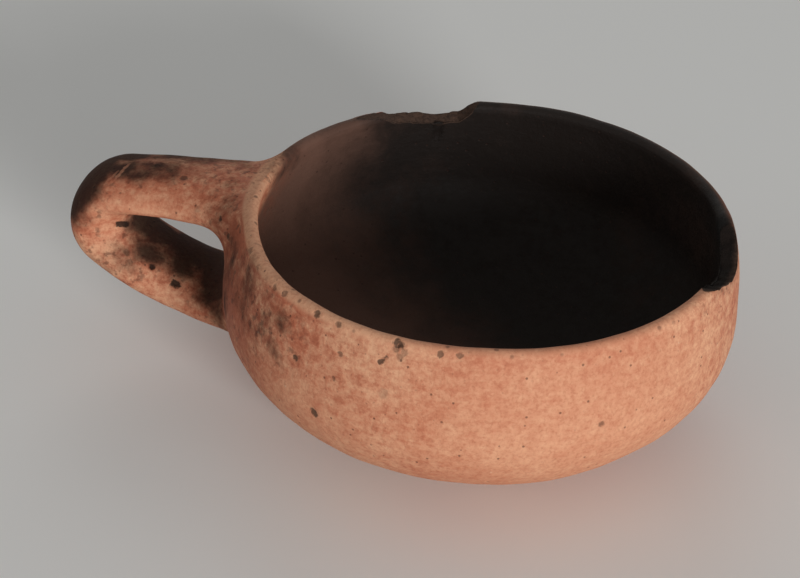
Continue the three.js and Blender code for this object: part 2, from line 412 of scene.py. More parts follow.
def grid_quads(rows: int, columns: int, rows_close: bool = False) -> np.ndarray:
    """Faces of a grid whose columns close into a ring.

    Args:
        rows: Number of rows of points.
        columns: Number of points in a row.
        rows_close: Whether the last row joins the first.

    Returns:
        Four point numbers to a face.
    """
    row = np.arange(rows if rows_close else rows - 1)[:, None]
    column = np.arange(columns)[None, :]
    after = (column + 1) % columns
    this_row = row * columns
    next_row = (row + 1) % rows * columns
    corners = (this_row + column, this_row + after, next_row + after, next_row + column)
    return np.stack(corners, -1).reshape(-1, 4)


def fan(middle: int, ring: np.ndarray) -> np.ndarray:
    """Triangles from a middle point to a closed ring of point numbers."""
    return np.stack([np.full(len(ring), middle), ring, np.roll(ring, -1)], -1)


@dataclass
class Potter:
    """Marks of hand and use, the same in space for every piece, so that the joined surfaces stay joined."""

    shape: BowlShape
    dents: tuple[Mark, ...]
    soot_and_shade_smudges: tuple[Smudge, ...]
    rubs_and_painted_light: tuple[Smudge, ...]
    pours_and_shade: tuple[Smudge, ...]
    wander: float = 0.24
    wander_size: float = 34.0
    wander_sink: float = 0.7
    ripple: float = 0.12
    ripple_size: float = 9.0
    ripple_sink: float = 0.5
    firm_below: float = 0.2
    loose_above: float = 7.0
    lean: tuple[float, float] = (0.9, 0.2)
    dip_angle: float = 149.0
    dip_width: float = 24.0
    dip_depth: float = 0.8
    push_angle: float = -170.0
    push_width: float = 44.0
    push_depth: float = 1.7
    held_below: float = 46.0
    held_beyond: float = 100.0
    # The lip's pale band: wear, and painted light on the side near the handle that faces the light.
    worn_and_lit_full: float = 1.5
    worn_and_lit_reach: float = 4.8
    worn_and_lit_angle: float = -150.0
    worn_and_lit_least: float = 0.35
    foot_height: float = 2.2
    foot_reach: float = 12.0
    foot_full: float = 4.0
    foot_wear: float = 0.8

    def press(self, skin: Skin) -> None:
        """Makes a skin uneven and presses the dents into it.

        Args:
            skin: The surface to change.
        """
        points, normals = skin.points.copy(), skin.normals()
        loose = skin.shown * ease(points[:, 2], self.firm_below, self.loose_above)
        lift = self.wander * (lumps(points, self.wander_size, 2) - self.wander_sink)
        lift += self.ripple * (lumps(points, self.ripple_size, 2, 7.3) - self.ripple_sink)
        for dent in self.dents:
            lift -= dent.depth * np.clip(1.0 - dent.away(points) ** 2, 0.0, 1.0) ** 1.5
        skin.points = points + normals * (np.minimum(lift, 0.0) * loose)[:, None] + self._settle(points)

    def _settle(self, points: np.ndarray) -> np.ndarray:
        """How far the rim stands out of true: it leans, dips at the back and is pushed in by the handle.

        Args:
            points: Places in millimetres on the true shape, one to a row.

        Returns:
            A shift to a point, which runs out down the wall and along the handle.
        """
        turn = np.degrees(np.arctan2(points[:, 1], points[:, 0]))
        radius = np.hypot(points[:, 0], points[:, 1])
        held = ease(points[:, 2], self.held_below, self.shape.lip_height)
        held *= ease(radius, self.held_beyond, self.shape.body_radius)
        dip, push = (
            depth * (1.0 - ease(np.abs((turn - angle + 180.0) % 360.0 - 180.0), 0.2 * width, width))
            for angle, width, depth in (
                (self.dip_angle, self.dip_width, self.dip_depth),
                (self.push_angle, self.push_width, self.push_depth),
            )
        )
        inward = -points[:, :2] / np.maximum(radius, 1.0)[:, None]
        flat = np.array(self.lean) + push[:, None] * inward
        return np.column_stack([flat, -dip]) * held[:, None]

    def settled(self, marks: tuple[Mark, ...]) -> tuple[Mark, ...]:
        """Moves marks along with the wall that they lie on.

        Args:
            marks: Marks on the true shape.

        Returns:
            The moved marks.
        """
        places = np.array([mark.place for mark in marks])
        moved = places + self._settle(places)
        return tuple(replace(mark, place=tuple(place)) for mark, place in zip(marks, moved.tolist()))

    def stain(self, skin: Skin) -> None:
        """Adds the coats of soot, rubbing, thick slip and wear to a skin, with the painted shade and painted
        light that they carry.

        Args:
            skin: The surface, still true, to add them to.
        """
        points, shape = skin.points, self.shape
        spread = {Coat.SOOT: self.soot_and_shade_smudges, Coat.RUBBED: self.rubs_and_painted_light, Coat.THICK: self.pours_and_shade}
        for coat, places in spread.items():
            skin.coats[coat] = np.max([place.share(points) for place in places], axis=0)
        radius = np.hypot(points[:, 0], points[:, 1])
        crest = np.hypot(radius - shape.rim_radius, points[:, 2] - shape.height)
        turn = np.arctan2(points[:, 1], points[:, 0]) - math.radians(self.worn_and_lit_angle)
        # Wear, with painted light: the lip is palest on the side that faces the light.
        handled_and_lit = self.worn_and_lit_least + (1.0 - self.worn_and_lit_least) * ease(np.cos(turn), 0.3, 0.9)
        foot = ease(points[:, 2], self.foot_height, self.firm_below)
        foot *= ease(radius, shape.base_radius - self.foot_reach, shape.base_radius - self.foot_full)
        lip = handled_and_lit * (1.0 - ease(crest, self.worn_and_lit_full, self.worn_and_lit_reach))
        skin.coats[Coat.WORN] = np.maximum(lip, self.foot_wear * foot)


@dataclass
class ClayPiece:
    """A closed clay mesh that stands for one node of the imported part."""

    node: str
    shape: BowlShape
    crease_angle: float = 50.0

    def skin(self) -> Skin:
        """The piece's true surface before the potter's marks."""
        raise NotImplementedError

    def build(self, potter: Potter) -> bpy.types.Object:
        """Makes the piece's mesh and puts it in the scene.

        Args:
            potter: Marks the surface.

        Returns:
            The new object, which rides on the part's body in place of its node.
        """
        skin = self.skin()
        potter.stain(skin)
        potter.press(skin)
        name = f"{self.node}_clay"
        mesh = bpy.data.meshes.new(name)
        faces = skin.quads.tolist() + skin.triangles.tolist()
        mesh.from_pydata((skin.points * MM).tolist(), [], faces)
        mesh.shade_smooth()
        mesh.set_sharp_from_angle(angle=math.radians(self.crease_angle))
        for coat in Coat:
            layer = mesh.attributes.new(coat.value, "FLOAT", "POINT")
            share = skin.coats.get(coat, np.zeros(len(skin.points)))
            layer.data.foreach_set("value", share.astype(np.float32))
        piece = put_in_scene(name, mesh)
        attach(piece, BODY)
        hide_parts(self.node)
        LOG.info("%s: %d points, %d faces", piece.name, len(skin.points), len(faces))
        return piece

    def dress(self, piece: bpy.types.Object, coat: bpy.types.Material) -> None:
        """Gives the piece its finish."""
        piece.data.materials.append(coat)


@dataclass
class BowlBody(ClayPiece):
    """The bowl: one wall from the flat base over the lip to the floor inside, with its broken rim."""

    losses: tuple[RimLoss, ...] = ()
    columns: int = 480
    base_rows: int = 12
    outer_belly_rows: int = 52
    outer_shoulder_rows: int = 40
    lip_rows: int = 26
    inner_shoulder_rows: int = 32
    inner_belly_rows: int = 44
    base_hollow: float = 0.7
    break_root: float = 54.0
    broken_relief: float = 0.5
    broken_slope: float = 1.6
    broken_grain: float = 3.0
    ragged: float = 0.38
    chip_size: float = 5.0
    splinter_size: float = 1.7
    splinter_share: float = 0.6
    # Painted shade on the inside: darker below a line that climbs towards one side, and darkest on that side.
    dark_line_height: float = 50.0
    dark_line_rise: float = 30.0
    dark_line_fade: float = 30.0
    # Where the inside's colour starts; at the back it runs over the lip, as painted shade on the lip's outer
    # edge.
    inside_reach_angle: float = 79.0
    inside_below_lip: float = 17.0
    inside_over_lip: float = 44.0
    inside_top: float = 20.0
    inside_rows: float = 22.0
    shaded_side_angle: float = 65.0
    shaded_side_from: float = -30.0
    shaded_side_to: float = 40.0
    thin_shade: float = 0.65

    def profile(self) -> tuple[np.ndarray, np.ndarray]:
        """The wall's section, from the middle of the underside to the middle of the floor.

        Returns:
            Radius and height of each row.
        """
        shape, out, inn = self.shape, self.shape.outside, self.shape.inside
        base = np.linspace(0.0, shape.base_radius, self.base_rows, endpoint=False)
        hollow = self.base_hollow * (1.0 - ease(base, 0.5 * shape.base_radius, 0.86 * shape.base_radius))
        foot = math.acos(shape.base_radius / shape.body_radius)
        outer = np.linspace(foot, 0.0, self.outer_belly_rows, endpoint=False)
        up = np.linspace(shape.widest_height, out.top_height, self.outer_shoulder_rows, endpoint=False)
        lip = np.linspace(out.lean, math.pi + inn.lean, self.lip_rows, endpoint=False)
        down = np.linspace(inn.top_height, shape.widest_height, self.inner_shoulder_rows, endpoint=False)
        inner = np.linspace(0.0, math.pi / 2, self.inner_belly_rows)
        radius = [
            base,
            out.belly_radius * np.cos(outer),
            out.radius(up),
            shape.rim_radius + shape.lip_radius * np.cos(lip),
            inn.radius(down),
            inn.belly_radius * np.cos(inner),
        ]
        height = [
            hollow,
            shape.widest_height - out.belly_depth * np.sin(outer),
            up,
            shape.lip_height + shape.lip_radius * np.sin(lip),
            down,
            shape.widest_height - inn.belly_depth * np.sin(inner),
        ]
        return np.concatenate(radius), np.concatenate(height)

    def _drop(self, turn: np.ndarray) -> np.ndarray:
        """Depth of the losses below the crest, with a ragged edge.

        Args:
            turn: Angles about the axis, from +X.

        Returns:
            The depth at each angle, 0 where the rim is whole.
        """
        rim = np.stack([np.cos(turn), np.sin(turn), 0 * turn], -1) * self.shape.rim_radius
        drop = np.max([loss.drop(turn, self.shape.rim_radius) for loss in self.losses], axis=0)
        uneven = lumps(rim, self.chip_size, 3)
        uneven += self.splinter_share * lumps(rim, self.splinter_size, 2, 3.1)
        return np.maximum(drop + self.ragged * ease(drop, 0.2, 1.5) * uneven, 0.0)

    def _break(self, turn: np.ndarray, radius: np.ndarray, height: np.ndarray) -> tuple[np.ndarray, ...]:
        """Cuts the losses out of the rim. The rows of the lip become the broken face.

        Args:
            turn: Angle of each column.
            radius: Radius of each row.
            height: Height of each row.

        Returns:
            Radius and height of each point, and the share of broken face there, by row and column.
        """
        shape, drop = self.shape, self._drop(turn)
        first_lip = self.base_rows - 1 + self.outer_belly_rows + self.outer_shoulder_rows
        first_inner = first_lip + self.lip_rows
        depth = ease(drop, 0.5, 3.0)
        level = shape.height - drop
        inner_level = level - self.broken_slope * depth
        wide = np.repeat(radius[:, None], len(turn), axis=1)
        tall = np.repeat(height[:, None], len(turn), axis=1)
        sides = (
            (slice(0, first_lip), shape.outside, level),
            (slice(first_inner, None), shape.inside, inner_level),
        )
        edges = []
        for rows, face, edge in sides:
            top = np.minimum(edge, face.top_height)
            rise = np.maximum(tall[rows] - self.break_root, 0.0) / (face.top_height - self.break_root)
            moved = tall[rows] - rise * (face.top_height - top)
            wide[rows] = np.where(rise > 0, face.radius(moved), wide[rows])
            tall[rows] = moved
            edges.append(face.radius(top))
        lip = slice(first_lip, first_inner)
        share = ((radius[lip] - shape.inside.top_radius) / np.ptp(radius[lip]))[:, None]
        share = np.clip(share, 0.0, 1.0)
        wide[lip] = edges[1] + (edges[0] - edges[1]) * share
        spots = np.stack([wide[lip] * np.cos(turn), wide[lip] * np.sin(turn), 0 * wide[lip]], -1)
        rough = lumps(spots.reshape(-1, 3), self.broken_grain, 3, 1.7).reshape(wide[lip].shape)
        flat = inner_level + (level - inner_level) * share + depth * self.broken_relief * rough
        broken = np.zeros_like(tall)
        broken[lip] = ease(tall[lip] - flat, 0.1, 0.7)
        tall[lip] = np.minimum(tall[lip], flat)
        return wide, tall, broken

    def _inside_and_shade(
        self, turn: np.ndarray, wide: np.ndarray, tall: np.ndarray, crest: int
    ) -> tuple[np.ndarray, np.ndarray]:
        """Where the inside's colour lies, and how dark its painted shade is, its upper line climbing over the
        lip on one side.

        Args:
            turn: Angle of each column.
            wide: Radius of each point, by row and column.
            tall: Height of each point, by row and column.
            crest: Row of the lip's crest.

        Returns:
            Shares of the inside's colour, and its painted shade, from 0 for none to 2 for the darkest shade.
        """
        # At the back the inside's colour runs over the lip: painted shade on its outer edge.
        over = self.inside_over_lip * ease(np.cos(turn - math.radians(self.inside_reach_angle)), -0.3, 0.18)
        start = crest + np.maximum(self.inside_below_lip - over, -self.inside_top)
        inside = ease(np.arange(len(tall))[:, None] - start, 0.0, self.inside_rows)
        # Painted shade: darker below a line that climbs towards one side, and darkest on that side.
        toward = np.cos(turn - math.radians(self.shaded_side_angle))
        line = self.dark_line_height + self.dark_line_rise * ease(toward, -0.3, 1.0)
        depth = np.clip(0.5 + (line - tall) / self.dark_line_fade, 0.0, 1.0)
        shaded_side = np.interp(wide * toward, (self.shaded_side_from, self.shaded_side_to), (0.0, 1.0))
        thick = 1.0 + shaded_side * (self.thin_shade + (1.0 - self.thin_shade) * depth)
        return inside, depth + (thick - depth) * np.minimum(2.0 * shaded_side, 1.0)

    def skin(self) -> Skin:
        """The wall as rows of points, closed by one point at each middle.

        Returns:
            The skin, with the coats of the inside and of the breaks.
        """
        radius, height = self.profile()
        turn = np.linspace(0.0, 2 * math.pi, self.columns, endpoint=False)
        inner_rows = slice(1, len(radius) - 1)
        wide, tall, broken = self._break(turn, radius[inner_rows], height[inner_rows])
        rows = np.stack([wide * np.cos(turn), wide * np.sin(turn), tall], -1)
        middles = np.array([[0.0, 0.0, height[0]], [0.0, 0.0, height[-1]]])
        skin = Skin.capped(rows, middles, ends_show=True)
        inside, smoked = self._inside_and_shade(turn, wide, tall, int(np.argmax(height[inner_rows])))
        skin.coats = {
            Coat.INSIDE: np.append(inside, [0.0, 1.0]),
            Coat.SMOKED: np.append(smoked, [0.0, smoked[-1].mean()]),
            Coat.BROKEN: np.append(broken, [0.0, 0.0]),
        }
        return skin


@dataclass(frozen=True)
class Arc:
    """An arc in the plane of -X and Z, run clockwise from a start angle down to an end angle."""

    centre: np.ndarray
    radius: float
    start: float
    end: float

    @property
    def length(self) -> float:
        """Length of the arc."""
        return self.radius * (self.start - self.end)

    def at(self, share: np.ndarray) -> np.ndarray:
        """Points at shares of the arc."""
        return self.centre + self.radius * self.way(share)

    def way(self, share: np.ndarray) -> np.ndarray:
        """Unit vectors out of the arc at shares of it."""
        angle = self.start + (self.end - self.start) * np.asarray(share)
        return np.stack([np.cos(angle), np.sin(angle)], -1)

    def angle_of(self, point: np.ndarray) -> float:
        """Angle of a point seen from the arc's centre, at or below the arc's start."""
        angle = math.atan2(*(point - self.centre)[::-1])
        return self.start - (self.start - angle) % (2 * math.pi)

    def onward(self, seat: np.ndarray, beyond: float) -> "Arc":
        """The arc that carries on from this one without a corner.

        Args:
            seat: Point that the new arc passes through.
            beyond: Length that it runs on past the seat.

        Returns:
            The new arc.
        """
        way = self.way(1.0)
        chord = seat - self.at(1.0)
        radius = -(chord @ chord) / (2 * (chord @ way))
        arc = Arc(self.at(1.0) - radius * way, radius, self.end, self.end)
        return Arc(arc.centre, radius, self.end, arc.angle_of(seat) - beyond / radius)


@dataclass
class HandleLine:
    """The strap: a level upper arm, a thick bend and a bowed lower arm round a blunt finger gap."""

    shape: BowlShape
    reach: float
    width: float = 32.5
    upper_outside: float = 8.75
    lower_outside: float = 7.75
    upper_inside: float = 5.9
    lower_inside: float = 8.4
    top_drop: float = 0.4
    upper_fall: float = 5.8
    bend_radius: float = 10.15
    bend_end: float = 52.0
    bend_thickness: float = 22.4
    gap_end_radius: float = 4.9
    root_spacing: float = 37.55
    root_depth: float = 10.0
    root_spread: float = 7.8
    root_spread_length: float = 26.0
    far_spread: float = 0.5
    back_swell: float = 0.9
    back_swell_at: float = 0.27
    back_swell_length: float = 0.13
    floor_swell: float = 1.1
    search_steps: int = 40

    def __post_init__(self) -> None:
        """Works out the middle line and the line round the gap in the plane of -X and Z."""
        fall = math.radians(self.upper_fall)
        turn = (math.pi / 2 - fall, -math.radians(self.bend_end))
        arm_height = self.shape.height - self.top_drop - self.upper_outside
        self.arm_seat = self._wall_at(arm_height)
        self.arm_way = np.array([math.cos(fall), -math.sin(fall)])
        self.arm_out = np.array([math.sin(fall), math.cos(fall)])
        self.arm_start = self.arm_seat - self.root_depth * self.arm_way
        bend_x = self.reach - (self.upper_outside + self.lower_outside) / 2 - self.bend_radius
        self.bend = Arc(self._under_arm(bend_x, self.bend_radius), self.bend_radius, *turn)
        self.arm_length = float(np.linalg.norm(self.bend.at(0.0) - self.arm_start))
        seat = self._wall_at(arm_height - self.root_spacing)
        self.bow = self.bend.onward(seat, self.root_depth)

        gap_x = self.reach - self.bend_thickness - self.gap_end_radius
        gap_centre = self._under_arm(gap_x, self.upper_inside + self.gap_end_radius)
        self.gap_end = Arc(gap_centre, self.gap_end_radius, *turn)
        self.gap_start = self.arm_start - self.upper_inside * self.arm_out
        floor_seat = seat - self.lower_inside * self._out_of_bow(seat)
        self.gap_floor = self.gap_end.onward(floor_seat, self.root_depth)
        self.gap_top_share = float(np.linalg.norm(self.gap_end.at(0.0) - self.gap_start)) / self.length
        across = self.bow.angle_of(self.gap_floor.at(0.0))
        self.gap_floor_share = 1.0 - self.bow.radius * (across - self.bow.end) / self.length

    def _wall_at(self, height: float) -> np.ndarray:
        """Point of the wall's outside at a height, as distance from the axis and height."""
        return np.array([float(self.shape.outer_radius(np.array(height))), height])

    def _under_arm(self, distance: float, depth: float) -> np.ndarray:
        """Point at a depth under the upper arm's middle line and at a distance from the axis."""
        length = (distance - self.arm_seat[0] + depth * self.arm_out[0]) / self.arm_way[0]
        return self.arm_seat + length * self.arm_way - depth * self.arm_out

    def _out_of_bow(self, point: np.ndarray) -> np.ndarray:
        """Unit vector out of the lower arm's arc at a point on it."""
        return (point - self.bow.centre) / self.bow.radius

    @property
    def length(self) -> float:
        """Length of the middle line, with the stretches inside the wall."""
        return self.arm_length + self.bend.length + self.bow.length

    def middle(self, share: np.ndarray) -> tuple[np.ndarray, np.ndarray]:
        """The middle line.

        Args:
            share: Shares of the line's length, 0 at the rim.

        Returns:
            Points and unit vectors towards the strap's outer face, as distance from the axis and height.
        """
        length = np.asarray(share) * self.length
        on_bend = (length - self.arm_length) / self.bend.length
        on_bow = (length - self.arm_length - self.bend.length) / self.bow.length
        past_arm, past_bend = (on_bend > 0)[..., None], (on_bow > 0)[..., None]
        arm = self.arm_start + length[..., None] * self.arm_way
        points = np.where(past_arm, self.bend.at(on_bend), arm)
        outward = np.where(past_arm, self.bend.way(on_bend), self.arm_out)
        points = np.where(past_bend, self.bow.at(on_bow), points)
        return points, np.where(past_bend, self.bow.way(on_bow), outward)

    def gap(self, share: np.ndarray) -> np.ndarray:
        """The line round the finger gap.

        Args:
            share: Shares of the middle line's length, 0 at the rim.

        Returns:
            Points across from those shares, as distance from the axis and height.
        """
        top, floor = self.gap_top_share, self.gap_floor_share
        share = np.asarray(share)
        under_arm = self.gap_start + (share / top)[..., None] * (self.gap_end.at(0.0) - self.gap_start)
        on_end = self.gap_end.at((share - top) / (floor - top))
        along_floor = (share - floor) / (1.0 - floor)
        swell = self.floor_swell * np.sin(math.pi * np.clip(along_floor, 0.0, 1.0))[..., None]
        on_floor = self.gap_floor.at(along_floor) - swell * self.gap_floor.way(along_floor)
        points = np.where((share > top)[..., None], on_end, under_arm)
        return np.where((share > floor)[..., None], on_floor, points)

    def skin_at(self, share: np.ndarray, angle: np.ndarray) -> np.ndarray:
        """Points on the strap's skin.

        Args:
            share: Shares of the line's length.
            angle: Angles round the strap from its outer face.

        Returns:
            One point to a row.
        """
        middle, outward = self.middle(share)
        from_wall = np.minimum(share, 1.0 - share) * self.length - self.root_depth
        spread = self.root_spread * ease(from_wall, self.root_spread_length, 0.0)
        outside = self.upper_outside + (self.lower_outside - self.upper_outside) * share
        outside += self.back_swell * ease(np.abs(share - self.back_swell_at), self.back_swell_length, 0.0)
        spread *= np.where(np.sin(angle) > 0, self.far_spread, 1.0)
        across = np.cos(angle)[..., None]
        half = np.where(across > 0, outward * outside[..., None], middle - self.gap(share))
        flat = middle + half * across
        side = (self.width + spread) / 2 * np.sin(angle)
        return np.stack([-flat[..., 0], side, flat[..., 1]], -1)

    def seat(self, angle: np.ndarray, root: Root, bury: float = 0.0) -> np.ndarray:
        """Share of the length at which lines along the skin come out of the wall.

        Args:
            angle: Angles round the strap.
            root: Which end.
            bury: How deep under the wall's face to stop.

        Returns:
            One share to an angle.
        """
        low = np.full(len(angle), root.value)
        high = np.full(len(angle), 0.5)
        for _ in range(self.search_steps):
            share = (low + high) / 2
            point = self.skin_at(share, angle)
            depth = np.hypot(point[:, 0], point[:, 1]) - self.shape.outer_radius(point[:, 2])
            buried = depth < -bury
            low = np.where(buried, share, low)
            high = np.where(buried, high, share)
        return low


@dataclass
class LoopHandle(ClayPiece):
    """The strap handle, whose ends stop just under the wall's face."""

    line: HandleLine = field(kw_only=True)
    rows: int = 216
    columns: int = 96
    bury: float = 1.0

    def skin(self) -> Skin:
        """The strap as rings of points, closed by one point in the middle of each end.

        Returns:
            The skin, whose ends are hidden in the wall.
        """
        angle = np.linspace(0.0, 2 * math.pi, self.columns, endpoint=False)
        start, end = (self.line.seat(angle, root, self.bury) for root in Root)
        step = np.linspace(0.0, 1.0, self.rows)[:, None]
        share = start + (end - start) * step
        rings = self.line.skin_at(share, np.broadcast_to(angle, share.shape))
        return Skin.capped(rings, rings[[0, -1]].mean(1), ends_show=False)


@dataclass
class LutingClay(ClayPiece):
    """Clay worked into the corner between strap and wall, in a hollow curve that runs out on both."""

    line: HandleLine = field(kw_only=True)
    root: Root = Root.RIM
    strap_reach: float = 13.0
    wall_reach: float = 13.0
    far_share: float = 1.0
    fullness: float = 0.58
    columns: int = 168
    rows: int = 22
    bite: float = 1.6
    probe: float = 0.2
    least_climb: float = 0.02
    least_room: float = 0.05
    endless_room: float = 1000.0

    def _strap_side(self, seat: np.ndarray, angle: np.ndarray, narrow: np.ndarray) -> tuple[np.ndarray, ...]:
        """Where the clay runs out on the strap.

        Args:
            seat: Shares of the strap's length at which it comes out of the wall.
            angle: Angles round the strap.
            narrow: Shares of the full reach.

        Returns:
            Points of the edge, and points a little nearer to the wall.
        """
        onward = 1.0 if self.root is Root.RIM else -1.0
        edge = seat + onward * narrow * self.strap_reach / self.line.length
        nearer = edge - onward * self.probe / self.line.length
        return self.line.skin_at(edge, angle), self.line.skin_at(nearer, angle)

    def _wall_side(self, corner: np.ndarray, narrow: np.ndarray) -> tuple[np.ndarray, ...]:
        """Where the clay runs out on the wall, short of the lip's crest.

        Args:
            corner: Points at which the strap comes out of the wall.
            narrow: Shares of the full reach.

        Returns:
            Points of the edge, and points a little nearer to the strap.
        """
        shape = self.shape
        turn = np.arctan2(corner[:, 1], -corner[:, 0])
        climb = shape.climb_to(corner[:, 2])
        flat = np.stack([turn * shape.body_radius, climb], -1)
        around = np.roll(flat, -1, 0) - np.roll(flat, 1, 0)
        out = unit(np.stack([around[:, 1], -around[:, 0]], -1))
        out *= np.sign(np.sum(out * (flat - flat.mean(0)), 1))[:, None]
        left = shape.climb_to(np.array(shape.height)) - climb
        upward = np.maximum(out[:, 1], self.least_climb)
        room = np.where(out[:, 1] > self.least_climb, left / upward, self.endless_room)
        spread = ((narrow * self.wall_reach) ** -4 + np.maximum(room, self.least_room) ** -4) ** -0.25
        nearer = spread - np.minimum(self.probe, spread / 2)
        return tuple(
            shape.on_wall(turn + out[:, 0] * length / shape.body_radius, climb + out[:, 1] * length)
            for length in (spread, nearer)
        )

    def _hold(self, corner: np.ndarray, edge: np.ndarray, nearer: np.ndarray) -> np.ndarray:
        """Points that hold the hollow curve along a surface, from its edge towards the corner."""
        reach = np.linalg.norm(corner - edge, axis=1, keepdims=True)
        return edge + unit(nearer - edge) * self.fullness * reach

    def skin(self) -> Skin:
        """A ring of hollow sections, each closed by one point under both surfaces.

        Returns:
            The skin, whose closing points are hidden.
        """
        angle = np.linspace(0.0, 2 * math.pi, self.columns, endpoint=False)
        seat = self.line.seat(angle, self.root)
        corner = self.line.skin_at(seat, angle)
        narrow = 1.0 + (self.far_share - 1.0) * ease(np.sin(angle), 0.0, 0.9)
        strap_edge, strap_nearer = self._strap_side(seat, angle, narrow)
        wall_edge, wall_nearer = self._wall_side(corner, narrow)
        step = np.linspace(0.0, 1.0, self.rows)[:, None, None]
        section = (
            (1 - step) ** 3 * strap_edge
            + 3 * (1 - step) ** 2 * step * self._hold(corner, strap_edge, strap_nearer)
            + 3 * (1 - step) * step**2 * self._hold(corner, wall_edge, wall_nearer)
            + step**3 * wall_edge
        )
        middle, _ = self.line.middle(seat)
        strap_core = np.stack([-middle[:, 0], 0 * angle, middle[:, 1]], -1)
        wall_in = -unit(corner * np.array([1.0, 1.0, 0.0]))
        core = corner + self.bite * (unit(strap_core - corner) + wall_in)
        points = np.vstack([section.reshape(-1, 3), core])
        quads = grid_quads(self.rows + 1, self.columns, rows_close=True)
        if self.root is Root.RIM:
            quads = quads[:, ::-1]
        shown = np.arange(len(points)) < self.rows * self.columns
        return Skin(points, quads, np.zeros((0, 3), int), shown)


@dataclass(frozen=True)
class Tone:
    """A colour as it looks on a screen, each part from 0 to 255."""

    red: int
    green: int
    blue: int

    @property
    def linear(self) -> tuple[float, float, float, float]:
        """The colour as shaders take it.

        Returns:
            Red, green and blue as light, and full cover.
        """
        parts = (part / 255 for part in (self.red, self.green, self.blue))
        light = (p / 12.92 if p <= 0.04045 else ((p + 0.055) / 1.055) ** 2.4 for p in parts)
        return (*light, 1.0)


@dataclass(frozen=True)
class Cloud:
    """Noise: the size of its largest lumps in millimetres, and how they break up into finer ones."""

    size: float
    detail: float
    roughness: float
    twist: float = 0.0


@dataclass(frozen=True)
class Grit:
    """Scattered specks: their spacing and radius in millimetres, and the share of them that show."""

    spacing: float
    radius: float
    share: float


class Wire:
    """A socket of a shader sheet, written into Python expressions."""

    def __init__(self, sheet: "Sheet", socket: bpy.types.NodeSocket) -> None:
        """Wraps a socket of a sheet."""
        self.sheet = sheet
        self.socket = socket

    def _math(self, operation: str, first: Any, second: Any) -> "Wire":
        """Adds a Math node on two values.

        Args:
            operation: The node's operation.
            first: A wire or a number.
            second: A wire or a number.

        Returns:
            The node's value.
        """
        return self.sheet.node("ShaderNodeMath", {"operation": operation}, {0: first, 1: second})

    def __add__(self, other: Any) -> "Wire":
        """The sum."""
        return self._math("ADD", self, other)

    def __sub__(self, other: Any) -> "Wire":
        """The difference."""
        return self._math("SUBTRACT", self, other)

    def __rsub__(self, other: Any) -> "Wire":
        """The difference from another value."""
        return self._math("SUBTRACT", other, self)

    def __mul__(self, other: Any) -> "Wire":
        """The product."""
        return self._math("MULTIPLY", self, other)

    __radd__ = __add__
    __rmul__ = __mul__

    def step(self, low: float, high: float) -> "Wire":
        """A smooth step from 0 at low to 1 at high."""
        sockets = {"Value": self, "From Min": low, "From Max": high}
        return self.sheet.node("ShaderNodeMapRange", {"interpolation_type": "SMOOTHSTEP"}, sockets)

    def most(self, other: Any) -> "Wire":
        """The larger of two values."""
        return self._math("MAXIMUM", self, other)


